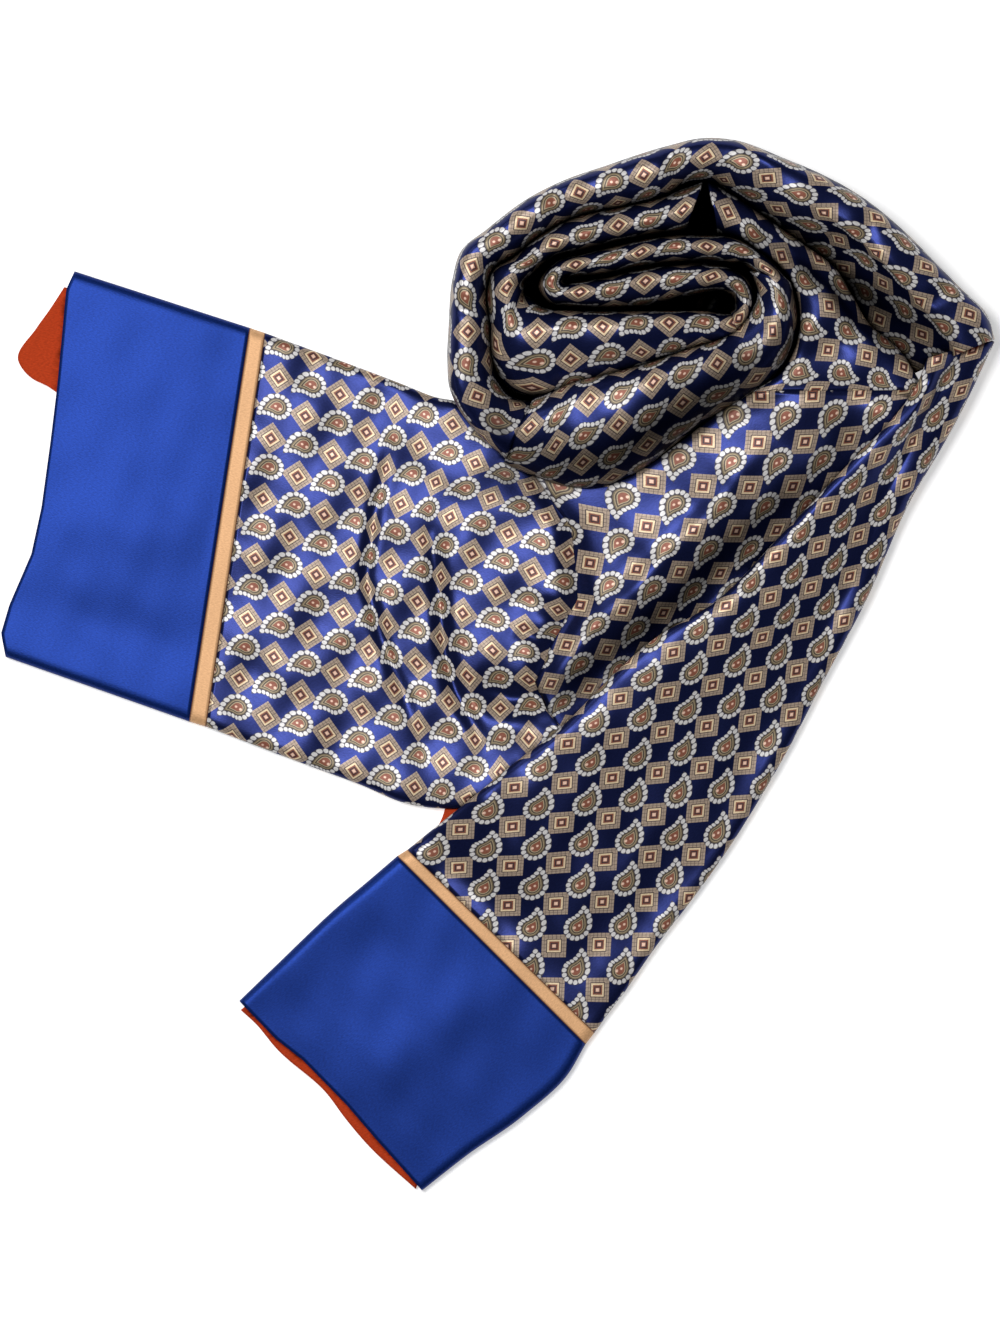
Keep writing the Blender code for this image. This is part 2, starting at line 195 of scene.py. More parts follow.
def read_rows(table, count):
    """The table as a smooth curve of rows, read at count + 1 equal steps along its middle."""
    rows = np.array(table, dtype=float) * MM
    places = (rows[:, 0:2] + rows[:, 2:4]) / 2
    steps = np.linalg.norm(np.diff(places, axis=0), axis=1)
    at = np.concatenate([[0.0], np.cumsum(steps)])
    slope = np.gradient(rows, at, axis=0)
    wanted = np.linspace(0.0, at[-1], count + 1)
    first = np.clip(np.searchsorted(at, wanted, side="right") - 1, 0, len(at) - 2)
    span = (at[first + 1] - at[first])[:, None]
    t = ((wanted - at[first]) / span[:, 0])[:, None]
    step_up = t * t * (3 - 2 * t)
    curve = (1 - step_up) * rows[first] + step_up * rows[first + 1]
    curve += t * (1 - t) ** 2 * span * slope[first]
    curve -= t * t * (1 - t) * span * slope[first + 1]
    return curve


def fold_line(low, top, flap_end, end_low):
    """From the flap's end to the fold and round it, as (in from the edge, height)."""
    radius = (top - low) / 2
    line = []
    for step in range(FLAP_STEPS):
        share = step / FLAP_STEPS
        line.append((flap_end + (radius - flap_end) * share, end_low + (low - end_low) * share))
    for step in range(FOLD_STEPS + 1):
        turn = math.pi * step / FOLD_STEPS
        inward = 1 - math.sin(turn) ** PRESSED
        upward = 1 - math.copysign(abs(math.cos(turn)) ** PRESSED, math.cos(turn))
        line.append((radius * inward, low + radius * upward))
    return line


def folded_section(row):
    """Across a tail: a flap underneath, round the right fold, over the top and back underneath."""
    left_x, left_y, right_x, right_y, left_low, left_top, right_low, right_top = row
    width = math.hypot(left_x - right_x, left_y - right_y)
    right_radius = (right_top - right_low) / 2
    left_radius = (left_top - left_low) / 2
    half = (width - SLIT) / 2
    middle_low = (left_low + right_low) / 2
    right_end = max(half, right_radius + MM)
    left_end = max(half, left_radius + MM)
    line = fold_line(right_low, right_top, right_end, middle_low)
    for step in range(1, TOP_STEPS):
        part = step / TOP_STEPS
        ease = part * part * (3 - 2 * part)
        across = right_radius + part * (width - left_radius - right_radius)
        line.append((across, right_top + ease * (left_top - right_top)))
    for inward, height in reversed(fold_line(left_low, left_top, left_end, middle_low)):
        line.append((width - inward, height))
    line = np.array(line)
    share = line[:, :1] / width
    plan = np.array((right_x, right_y)) * (1 - share) + np.array((left_x, left_y)) * share
    return np.hstack([plan, line[:, 1:]])


def lengths_from(points, start):
    """How far each point of a line is from its point number start, along the line."""
    steps = np.linalg.norm(np.diff(points, axis=0), axis=1)
    at = np.concatenate([[0.0], np.cumsum(steps)])
    return at - at[start]


# The silk's slight unevenness everywhere: the way a wave runs, its length, height and start
RIPPLES = (
    (12, 37, 1.0, 0.3),
    (75, 29, 0.8, 2.1),
    (128, 23, 0.8, 4.0),
    (163, 17, 0.5, 1.2),
    (48, 14, 0.35, 5.1),
)
RIPPLE_SWAY = 1.3  # how much a wave bends on its way
SWAY_LENGTH = 41


def off_route(plan, route):
    """How far each place is from a route across the table, and how far along it, from 0 to 1."""
    route = np.array(route, dtype=float) * MM
    reach = np.linalg.norm(np.diff(route, axis=0), axis=1)
    passed = 0.0
    nearest = np.full(plan.shape[:-1], np.inf)
    at = np.zeros(plan.shape[:-1])
    for start, end, long in zip(route, route[1:], reach):
        along = np.clip(((plan - start) @ (end - start)) / long**2, 0.0, 1.0)
        away = np.linalg.norm(plan - start - along[..., None] * (end - start), axis=-1)
        closer = away < nearest
        nearest = np.where(closer, away, nearest)
        at = np.where(closer, (passed + along * long) / reach.sum(), at)
        passed += long
    return nearest, at


def press_creases(sections, creases, ripple, upper):
    """Lowers the cloth along each crease, most in the middle of its length.

    upper is how far each column takes part: 1 on the upper side, 0 underneath.
    """
    height = sections[:, :, 2]
    lowered = np.zeros_like(height)
    x, y = sections[:, :, 0] / MM, sections[:, :, 1] / MM
    for way, wave, tall, start in RIPPLES:
        run = x * math.cos(math.radians(way)) + y * math.sin(math.radians(way))
        sway = RIPPLE_SWAY * np.sin((x - y) / SWAY_LENGTH + start)
        lowered += ripple * MM * tall * np.sin(2 * math.pi * run / wave + start + sway)
    for width, depth, route in creases:
        nearest, at = off_route(sections[:, :, :2], route)
        fade = np.sin(math.pi * np.clip(at, 0.02, 0.98)) ** 0.6
        lowered += depth * MM * fade * np.exp(-((nearest / (width * MM)) ** 2))
    sections[:, :, 2] -= lowered * upper


def square_finder(squares, degree=2):
    """A smooth map from a place on the table to (along, left) on the print, in metres.

    It is the polynomial, of places in units of 100 mm, that fits the squares best.
    """
    known = np.array(squares, dtype=float)
    powers = [(i, j) for i in range(degree + 1) for j in range(degree + 1 - i)]

    def terms(x, y):
        return np.stack([x**i * y**j for i, j in powers], axis=-1)

    fit, *_ = np.linalg.lstsq(terms(known[:, 0] / 100, known[:, 1] / 100), known[:, 2:], rcond=None)
    return lambda plan: terms(plan[..., 0] / (100 * MM), plan[..., 1] / (100 * MM)) @ fit * REPEAT


def print_over_fold(sections, find):
    """The print on a tail: by its place on the table on top, and rolled on round the folds."""
    middle = sections.shape[1] // 2
    prints = np.empty(sections.shape[:2] + (2,))
    for number, section in enumerate(sections):
        across = section[-FLAP_STEPS - FOLD_STEPS - 1] - section[FLAP_STEPS + FOLD_STEPS]
        across = across[:2] / np.linalg.norm(across[:2])
        reach = lengths_from(section, middle)
        flat = (section[:, :2] - section[middle, :2]) @ across
        step = find(section[middle, :2] + across * MM) - find(section[middle, :2] - across * MM)
        rolled = (np.abs(reach) - np.abs(flat)) * np.sign(reach)
        prints[number] = find(section[:, :2]) + (step / (2 * MM)) * rolled[:, None]
    return prints


laid = []  # every cloth, for the painted shade in the last section


def lay_cloth(name, silk, sections, prints):
    """A thin sheet of silk laid through the sections, with its print's own lengths as UV map.

    The attribute "run" goes from 0 at its first section to 1 at its last.
    """
    along, across = sections.shape[0] - 1, sections.shape[1] - 1
    sheet = bmesh.new()
    bmesh.ops.create_grid(sheet, x_segments=along, y_segments=across, size=0.5)
    mesh = bpy.data.meshes.new(name)
    sheet.to_mesh(mesh)
    sheet.free()
    places = np.empty(len(mesh.vertices) * 3, dtype=np.float32)
    mesh.vertices.foreach_get("co", places)
    places = places.reshape(-1, 3)
    row = np.rint((places[:, 0] + 0.5) * along).astype(int)
    column = np.rint((places[:, 1] + 0.5) * across).astype(int)
    mesh.vertices.foreach_set("co", sections[row, column].astype(np.float32).ravel())
    corner = np.empty(len(mesh.loops), dtype=np.int32)
    mesh.loops.foreach_get("vertex_index", corner)
    on_print = mesh.uv_layers.new(name="print")
    on_print.data.foreach_set("uv", prints[row, column][corner].astype(np.float32).ravel())
    run = mesh.attributes.new("run", "FLOAT", "POINT")
    run.data.foreach_set("value", (row / along).astype(np.float32))
    mesh.shade_smooth()
    mesh.update()
    mesh.materials.append(silk)
    mesh.materials.append(rust)
    piece = bpy.data.objects.new(name + "_cloth", mesh)
    scene.collection.objects.link(piece)
    wall = piece.modifiers.new("wall", "SOLIDIFY")
    wall.thickness = SILK
    wall.offset = -1.0
    wall.material_offset = 1
    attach(piece, "root")
    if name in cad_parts:
        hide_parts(name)
    laid.append(piece)
    return piece


THREADS = (900.0, 2200.0, 1.0)  # threads to the metre, along and across the twill's line
TWILL_TURN = math.radians(30)
RELIEF = 0.1 * MM  # of a thread
BLACK = (0.0, 0.0, 0.0, 1.0)
GLEAM = (0.5, 0.5, 0.55, 1.0)  # the tint of its reflection in the open; painted shade takes it to black deep in the folds


class DyeAndShade:
    """A silk's material: one shader, and the nodes that feed it.

    It reads the print's UV map and the attribute "shade", the painted shade which the last section lays on.
    """

    def __init__(self, name, roughness):
        self.material = bpy.data.materials.new(name)
        self.material.use_nodes = True
        self.tree = self.material.node_tree
        self.shader = self.tree.nodes["Principled BSDF"]
        self.shader.inputs["Roughness"].default_value = roughness
        self.shader.inputs["Specular IOR Level"].default_value = 0.2
        self.uv = self.node("ShaderNodeUVMap", uv_map="print").outputs["UV"]
        self.shade = self.node("ShaderNodeAttribute", attribute_name="shade").outputs["Fac"]

    def node(self, kind, **settings):
        made = self.tree.nodes.new(kind)
        for setting, value in settings.items():
            setattr(made, setting, value)
        return made

    def feed(self, socket, value):
        if isinstance(value, (int, float, tuple)):
            socket.default_value = value
        else:
            self.tree.links.new(value, socket)

    def math(self, operation, *values):
        made = self.node("ShaderNodeMath", operation=operation)
        for socket, value in zip(made.inputs, values):
            self.feed(socket, value)
        return made.outputs[0]

    def within(self, value, edge, soft):
        """1 where value is under edge and 0 where it is over, with a soft change between."""
        made = self.node("ShaderNodeMapRange", interpolation_type="SMOOTHSTEP")
        self.feed(made.inputs["Value"], value)
        made.inputs["From Min"].default_value = edge - soft
        made.inputs["From Max"].default_value = edge + soft
        made.inputs["To Min"].default_value = 1.0
        made.inputs["To Max"].default_value = 0.0
        return made.outputs["Result"]

    def over(self, below, above, cover):
        made = self.node("ShaderNodeMix", data_type="RGBA")
        self.feed(made.inputs["Factor"], cover)
        self.feed(made.inputs["A"], below)
        self.feed(made.inputs["B"], above)
        return made.outputs["Result"]

    def weave_and_paint_shade(self, colour, strength):
        """Fine twill: an uneven tone from thread to thread, and a slight relief.

        It also paints shade: the colour and the reflection's tint go to black where the attribute "shade"
        is low, deep in the folds.
        """
        stretch = self.node("ShaderNodeMapping")
        self.feed(stretch.inputs["Vector"], self.uv)
        stretch.inputs["Scale"].default_value = THREADS
        stretch.inputs["Rotation"].default_value = (0.0, 0.0, TWILL_TURN)
        threads = self.node("ShaderNodeTexNoise")
        self.feed(threads.inputs["Vector"], stretch.outputs["Vector"])
        threads.inputs["Scale"].default_value = 1.0
        threads.inputs["Detail"].default_value = 2.0
        tone = self.node("ShaderNodeMix", data_type="RGBA", blend_type="MULTIPLY")
        tone.inputs["Factor"].default_value = strength
        self.feed(tone.inputs["A"], colour)
        grey = self.node("ShaderNodeMapRange")
        self.feed(grey.inputs["Value"], threads.outputs["Fac"])
        grey.inputs["From Min"].default_value = 0.3
        grey.inputs["From Max"].default_value = 0.7
        grey.inputs["To Min"].default_value = 0.55
        grey.inputs["To Max"].default_value = 1.4
        grey.clamp = False
        self.feed(tone.inputs["B"], grey.outputs["Result"])
        # Painted shade: the colour goes to black where the attribute "shade" is low
        colour_with_painted_shade = self.over(BLACK, tone.outputs["Result"], self.shade)
        self.feed(self.shader.inputs["Base Color"], colour_with_painted_shade)
        # Painted shade on the reflection: its tint goes to black there too
        gleam_with_painted_shade = self.over(BLACK, GLEAM, self.shade)
        self.feed(self.shader.inputs["Specular Tint"], gleam_with_painted_shade)
        relief = self.node("ShaderNodeBump")
        relief.inputs["Strength"].default_value = 0.25
        relief.inputs["Distance"].default_value = RELIEF
        self.feed(relief.inputs["Height"], threads.outputs["Fac"])
        self.feed(self.shader.inputs["Normal"], relief.outputs["Normal"])


rust_dye = DyeAndShade("lining_cloth", 0.8)
rust_dye.weave_and_paint_shade((0.50, 0.050, 0.010, 1.0), 0.4)
rust = rust_dye.material

blue_dye = DyeAndShade("border_silk", 0.42)
blue_dye.weave_and_paint_shade((0.0060, 0.025, 0.165, 1.0), 0.5)
blue_dye.shader.inputs["Metallic"].default_value = 0.55
blue_silk = blue_dye.material


def add_tail(name, silk, sections, find):
    return lay_cloth(name, silk, sections, print_over_fold(sections, find))


def upper_columns():
    """How far each column of a folded section is on its upper side."""
    rise = (1 - np.cos(math.pi * np.arange(FOLD_STEPS + 1) / FOLD_STEPS)) / 2
    rise = np.clip(2 * rise - 1, 0.0, 1.0)
    flap = np.zeros(FLAP_STEPS)
    top = np.ones(TOP_STEPS - 1)
    return np.concatenate([flap, rise, top, rise[::-1], flap])


FIELD_RIPPLE = 0.3  # the share of the ripples that the light printed field takes
BORDER_RIPPLE = 0.05  # and the smooth borders and bands
BOW_ROWS = 20  # over which the way out of a tail's end is read


def tail_sections(table, count, creases, ripple):
    sections = np.array([folded_section(row) for row in read_rows(table, count)])
    press_creases(sections, creases, ripple, upper_columns())
    return sections


def bow_end(sections, last, at_y, bow):
    """Bends a tail's cut end out (bow above 0) or in, less and less away from it."""
    inner = last - BOW_ROWS if last else BOW_ROWS
    away = sections[last, :, :2].mean(axis=0) - sections[inner, :, :2].mean(axis=0)
    away /= np.linalg.norm(away)
    near = np.linspace(0.0, 1.0, len(sections)) ** 2
    if not last:
        near = near[::-1]
    amount = np.interp(sections[last, :, 1] / MM, at_y, bow) * MM
    sections[:, :, :2] += near[:, None, None] * amount[None, :, None] * away


# The cut end's shape: how far it bows out at each y
RIGHT_END_Y = (-199, -180, -168, -151, -142, -128)
RIGHT_END_BOW = (0, -1, -2, -1.8, 0, 0)

on_right_tail = square_finder(RIGHT_SQUARES)
right_border = RIGHT_TAIL[: RIGHT_BORDER_ROWS + 1]
right_border = tail_sections(right_border, 60, RIGHT_CREASES, BORDER_RIPPLE)
bow_end(right_border, 0, RIGHT_END_Y, RIGHT_END_BOW)
right_border = add_tail("right_tail_border", blue_silk, right_border, on_right_tail)

# ---------------------------------------------------------------------------------------------
# The lower tail's band
# A tan stripe, printed between the border and the field, with a hair of dark brown at its edges.
# ---------------------------------------------------------------------------------------------
TAN = (0.70, 0.40, 0.20, 1.0)
HAIR = (0.10, 0.020, 0.015, 1.0)
HAIR_STRENGTH = 0.85
HAIR_WIDTH = 0.06  # as a share of the band's width

tan_dye = DyeAndShade("band_silk", 0.45)
run = tan_dye.node("ShaderNodeAttribute", attribute_name="run").outputs["Fac"]
from_middle = tan_dye.math("ABSOLUTE", tan_dye.math("SUBTRACT", run, 0.5))
to_edge = tan_dye.math("SUBTRACT", 0.5, from_middle)
hair = tan_dye.math("MULTIPLY", HAIR_STRENGTH, tan_dye.within(to_edge, HAIR_WIDTH, 0.04))
tan_dye.weave_and_paint_shade(tan_dye.over(TAN, HAIR, hair), 0.3)
tan_dye.shader.inputs["Metallic"].default_value = 0.15
tan_silk = tan_dye.material
right_band = RIGHT_TAIL[RIGHT_BORDER_ROWS : RIGHT_BAND_ROWS + 1]
right_band = tail_sections(right_band, 5, RIGHT_CREASES, BORDER_RIPPLE)
right_band = add_tail("right_tail_band", tan_silk, right_band, on_right_tail)

# ---------------------------------------------------------------------------------------------
# The lower tail's field
# Printed silk twill: a lattice of small squares and paisleys in turn on a dark royal blue. It
# lies over the spread-out middle and rises to the coil's corner.
# ---------------------------------------------------------------------------------------------
GROUND = (0.0135, 0.0195, 0.085, 1.0)
TAUPE = (0.42, 0.325, 0.25, 1.0)
DARK = (0.05, 0.038, 0.045, 1.0)
CREAM = (0.80, 0.62, 0.40, 1.0)
BROWN = (0.27, 0.10, 0.065, 1.0)
WHITE = (0.68, 0.66, 0.65, 1.0)
SHADE = (0.06, 0.055, 0.075, 1.0)
OLIVE = (0.16, 0.13, 0.08, 1.0)
PINK = (0.88, 0.60, 0.46, 1.0)
SATIN = 0.72  # how metallic the ground's lustre is
MATT = 0.10  # and the printed motifs'
# The square, as half-widths from its middle, in millimetres
SQUARE_EDGE = 4.7
BLOCK = 1.55
FRAME_LINE = 3.75
FRAME_INSIDE = 2.95
CREAM_RIM = 2.62
BROWN_MIDDLE = 1.9
DARK_LINE = 1.15
PINK_DOT = 0.66
# The paisley, in millimetres: a drop whose tip bends to the left, edged with beads
BEAD_LINE = 4.45
TIP = 7.7
BEADS = 17
BEAD = 0.93  # a bead's radius
DROP_EDGE = 0.95  # outside the line of beads
# Inside the line of beads: the filled middles, then the fine lines
DARK_RING = -0.9
OLIVE_BODY = -1.2
OUTER_LINE = -1.75
MIDDLE_LINE = -2.2
INNER_LINE = -2.55
BROWN_BODY = -2.75
# Columns: aside, ahead, radius
SEEDS = (
    (0.9, -0.9, 0.55),
    (-0.2, 0.7, 0.45),
)
LONGER = 1.1  # its length against a round body's
BODY_BACK = 1.1  # how far its body's middle is behind the lattice's point
BEND_SIDE = 0.7  # and how far that bend's middle is moved aside
TIP_BEND = 10.0
PAISLEY_LEAN = math.radians(-34)  # from the axis half-way between along and left


def print_paisley(name):
    dye = DyeAndShade(name, 0.35)
    apart = dye.node("ShaderNodeSeparateXYZ")
    dye.feed(apart.inputs[0], dye.uv)
    along = dye.math("DIVIDE", apart.outputs["X"], 2 * REPEAT)
    left = dye.math("DIVIDE", apart.outputs["Y"], 2 * REPEAT)
    row = dye.math("ADD", along, left)
    column = dye.math("SUBTRACT", left, along)
    cell = REPEAT * math.sqrt(2) / MM

    def from_middle(value, shift):
        part = dye.math("FRACT", dye.math("ADD", value, shift))
        return dye.math("MULTIPLY", dye.math("SUBTRACT", part, 0.5), cell)

    def near(value, place, half, soft):
        return dye.within(dye.math("ABSOLUTE", dye.math("SUBTRACT", value, place)), half, soft)

    def length(x, y):
        squares = dye.math("ADD", dye.math("MULTIPLY", x, x), dye.math("MULTIPLY", y, y))
        return dye.math("SQRT", squares)

    # The square: a frame of blocks, a cream rim and a brown middle with a pink dot
    wide, tall = (dye.math("ABSOLUTE", from_middle(value, 0.5)) for value in (row, column))
    out = dye.math("MAXIMUM", wide, tall)
    block = dye.math("FRACT", dye.math("DIVIDE", dye.math("MINIMUM", wide, tall), BLOCK))
    square = dye.over(TAUPE, DARK, dye.math("MULTIPLY", 0.7, near(block, 0.5, 0.07, 0.06)))
    square = dye.over(square, DARK, dye.math("MULTIPLY", 0.6, near(out, FRAME_LINE, 0.1, 0.12)))
    square = dye.over(square, DARK, dye.within(out, FRAME_INSIDE, 0.1))
    square = dye.over(square, CREAM, dye.within(out, CREAM_RIM, 0.1))
    square = dye.over(square, BROWN, dye.within(out, BROWN_MIDDLE, 0.1))
    square = dye.over(square, DARK, near(out, DARK_LINE, 0.22, 0.1))
    square = dye.over(square, PINK, dye.within(out, PINK_DOT, 0.12))

    # The paisley's own axes: ahead towards the tip, and aside to the left, straightened
    x, y = from_middle(row, 0.0), from_middle(column, 0.0)
    cosine, sine = math.cos(PAISLEY_LEAN), math.sin(PAISLEY_LEAN)
    ahead = dye.math("ADD", dye.math("MULTIPLY", x, cosine), dye.math("MULTIPLY", y, sine))
    aside = dye.math("SUBTRACT", dye.math("MULTIPLY", y, cosine), dye.math("MULTIPLY", x, sine))
    ahead = dye.math("DIVIDE", dye.math("ADD", ahead, BODY_BACK), LONGER)
    inward = dye.math("SUBTRACT", TIP_BEND - BEND_SIDE, aside)
    fore = dye.math("MAXIMUM", ahead, 0.0)
    aside = dye.math("SUBTRACT", TIP_BEND, length(inward, fore))
    bent = dye.math("MULTIPLY", TIP_BEND, dye.math("ARCTAN2", fore, inward))
    ahead = dye.math("ADD", dye.math("MINIMUM", ahead, 0.0), bent)

    # How far off its line of beads a point is, and how far along that line
    turn = dye.math("ABSOLUTE", dye.math("ARCTAN2", aside, ahead))
    reach = length(aside, ahead)
    spread = math.acos(BEAD_LINE / TIP)
    past = dye.math("MAXIMUM", dye.math("SUBTRACT", spread, turn), 0.0)
    off = dye.math("SUBTRACT", dye.math("MULTIPLY", reach, dye.math("COSINE", past)), BEAD_LINE)
    pitch = 2 * BEAD_LINE * (math.pi - spread + math.tan(spread)) / BEADS
    path = dye.math("SUBTRACT", dye.math("SUBTRACT", math.pi, turn), past)
    path = dye.math("MULTIPLY", path, BEAD_LINE)
    path = dye.math("ADD", path, dye.math("MULTIPLY", reach, dye.math("SINE", past)))
    part = dye.math("FRACT", dye.math("DIVIDE", path, pitch))
    bead_half = dye.math("MULTIPLY", dye.math("SUBTRACT", part, 0.5), pitch * 1.12)
    bead = length(bead_half, off)

    drop = dye.over(SHADE, WHITE, dye.within(bead, BEAD, 0.14))
    drop = dye.over(drop, DARK, dye.within(off, DARK_RING, 0.1))
    drop = dye.over(drop, OLIVE, dye.within(off, OLIVE_BODY, 0.1))
    drop = dye.over(drop, CREAM, dye.math("MULTIPLY", 0.45, near(off, OUTER_LINE, 0.1, 0.12)))
    drop = dye.over(drop, DARK, dye.math("MULTIPLY", 0.8, near(off, MIDDLE_LINE, 0.15, 0.12)))
    drop = dye.over(drop, CREAM, dye.math("MULTIPLY", 0.6, near(off, INNER_LINE, 0.12, 0.12)))
    drop = dye.over(drop, BROWN, dye.within(off, BROWN_BODY, 0.12))
    for seed_aside, seed_ahead, size in SEEDS:
        seed = length(dye.math("SUBTRACT", aside, seed_aside), dye.math("SUBTRACT", ahead, seed_ahead))
        drop = dye.over(drop, PINK, dye.within(seed, size, 0.2))

    in_square = dye.within(out, SQUARE_EDGE, 0.1)
    in_drop = dye.within(off, DROP_EDGE, 0.12)
    colour = dye.over(dye.over(GROUND, square, in_square), drop, in_drop)
    dye.weave_and_paint_shade(colour, 0.35)
    motif = dye.math("MAXIMUM", in_square, in_drop)
    satin = dye.math("SUBTRACT", SATIN, dye.math("MULTIPLY", motif, SATIN - MATT))
    dye.feed(dye.shader.inputs["Metallic"], satin)
    return dye.material


paisley_silk = print_paisley("paisley_silk")
right_field = tail_sections(RIGHT_TAIL[RIGHT_BAND_ROWS:], 190, RIGHT_CREASES, FIELD_RIPPLE)
right_field = add_tail("right_tail_field", paisley_silk, right_field, on_right_tail)

# ---------------------------------------------------------------------------------------------
# The coil's first strand
# The same cloth stands on edge from the corner on: over the top, down the left side, along the
# bottom and into the heart, where it turns back on itself twice.
# ---------------------------------------------------------------------------------------------
LAYER_GAP = 0.3 * MM  # under a foot of the coil
STRAND_STEPS = 64
ROUND_RIDGE = 1.8  # how square a section through the coil is: 2 is an ellipse
COIL_RIPPLE = 0.35

# Where the strand's two feet stand, how high its ridge and each foot are, and where the ridge
# lies between the right foot (0) and the left foot (1).
# Columns: left_x, left_y, right_x, right_y, left_low, right_low, ridge, lean
OUTER_TURN = (
    (158, 111, 187.6, 123.6, 12, 0, 29, 0.5),
    (148, 118, 184.5, 133, 9, 0, 31, 0.47),
    (139, 126, 175.5, 142, 8.5, 0, 33, 0.44),
    (130, 139, 165.5, 152, 9, 0, 36, 0.44),
    (124, 151, 153, 164.5, 12, 0, 38, 0.5),
    (113, 159, 139, 176, 14.4, 0, 40, 0.5),
    (101, 168.5, 123.5, 185, 14.4, 0, 41, 0.5),
    (89.5, 177.5, 107, 192, 14.4, 0, 42, 0.5),
    (80, 183.5, 89.5, 198.5, 14.4, 0, 42, 0.5),
    (72, 183, 78, 199.5, 14.4, 0, 42, 0.5),
    (61, 177.5, 61.5, 196, 14.4, 0, 42, 0.5),
    (45.5, 173.5, 40, 189, 14.4, 0, 42, 0.5),
    (28.5, 170, 23, 183, 14.4, 0, 41.5, 0.5),
    (17, 164, 9.5, 176, 14.4, 0, 41, 0.5),
    (5.5, 155.5, -5, 165, 14.4, 0, 40, 0.5),
    (-3, 150, -15, 156.5, 14.4, 0, 39, 0.5),
    (-5.5, 142.5, -18, 146.5, 14.4, 0, 38, 0.5),
    (-4.5, 129, -19.5, 129, 14.4, 0, 37, 0.5),
    (-4, 118, -20, 115, 14.4, 2, 36, 0.5),
    (-3, 109, -19, 104.5, 14.4, 11, 35, 0.5),
    (1, 102.5, -15, 96, 14.4, 12.6, 34, 0.5),
    (6.5, 99, -7.5, 86.5, 14.4, 14, 33, 0.5),
    (11.5, 98.5, 2, 78, 14.4, 14.6, 33, 0.5),
)
LOWER_TURN = (
    (12, 98.5, 2.5, 77.5, 14.4, 14.6, 33, 0.55),
    (17, 100, 12, 73.5, 14.4, 14.6, 34, 0.66),
    (27.5, 104.5, 23.5, 69.5, 14.4, 14.6, 36, 0.8),
    (42, 108, 38, 69, 14.4, 14.5, 38, 0.84),
    (56.5, 112, 53, 75, 14.4, 14.4, 39, 0.84),
    (70.5, 117, 68.5, 86.5, 14.4, 14.4, 39, 0.8),
    (80, 120, 81.5, 96, 14.4, 14.4, 38.5, 0.72),
    (89.5, 125.5, 96, 104.5, 14.4, 14.4, 37.5, 0.6),
    (96, 133, 106.5, 114, 14.4, 14.4, 38, 0.5),
    (99, 140.5, 112, 129, 14.4, 14.4, 38, 0.5),
    (97, 148, 110, 144.5, 14.4, 14.4, 38, 0.5),
)
HEART = (
    (95.5, 149.5, 108.5, 146, 14.4, 14.4, 38, 0.5),
    (92.5, 152.5, 100.5, 154, 14.4, 14.4, 38.5, 0.5),
    (88, 153, 91, 160, 14.4, 14.4, 39, 0.5),
    (78, 154, 76, 161.5, 14.4, 14.4, 40, 0.5),
    (56.5, 152, 59, 161, 14.4, 14.4, 40, 0.5),
    (37, 148, 43.5, 158, 14.4, 14.4, 39, 0.5),
    (29.5, 148, 30.5, 154.5, 14.4, 14.4, 38, 0.5),
    (25.5, 147.5, 22, 152, 14.4, 14.4, 37, 0.5),
    (24, 146.5, 17.5, 148, 14.4, 14.4, 37, 0.5),
    (23.5, 145, 15.5, 143.5, 14.4, 14.4, 37, 0.5),
    (24.5, 143.5, 19, 138, 14.4, 14.4, 37, 0.5),
    (28.5, 144, 25, 136.5, 14.4, 14.4, 37, 0.55),
    (37, 145, 37, 135.5, 14.4, 14.4, 37.5, 0.6),
    (56.5, 149.5, 55, 136.5, 14.4, 14.4, 38, 0.65),
    (78, 151, 70.5, 140, 14.4, 14.4, 37, 0.6),
    (88, 148.5, 84.5, 142.5, 14.4, 14.4, 35.5, 0.5),
    (93.5, 144.5, 88.5, 140.5, 14.4, 14.4, 35, 0.5),
    (95.5, 138, 90, 137.5, 14.4, 14.4, 34, 0.5),
    (93.5, 131, 89.5, 134, 14.4, 14.4, 34, 0.5),
    (89.5, 126, 87.5, 132.5, 14.4, 14.4, 34.5, 0.5),
)
OUTER_CREASES = (
    (3.0, 2.0, ((60, 196), (66, 188), (68, 178))),
    (3.0, 1.5, ((-20, 136), (-12, 134), (-4, 136))),
    (3.0, 1.6, ((20, 180), (22, 172), (20, 164))),
    (3.5, 1.5, ((96, 192), (100, 180), (98, 172))),
    (3.5, 1.4, ((140, 176), (138, 162), (132, 152))),
    (3.0, 1.5, ((172, 150), (166, 140), (158, 134))),
)


# How far each column of a strand's section is on its upper side
UPPER_STRAND = np.sin(math.pi * np.arange(STRAND_STEPS + 1) / STRAND_STEPS)
UPPER_STRAND = np.clip(1.6 * UPPER_STRAND - 0.4, 0.0, 1.0)


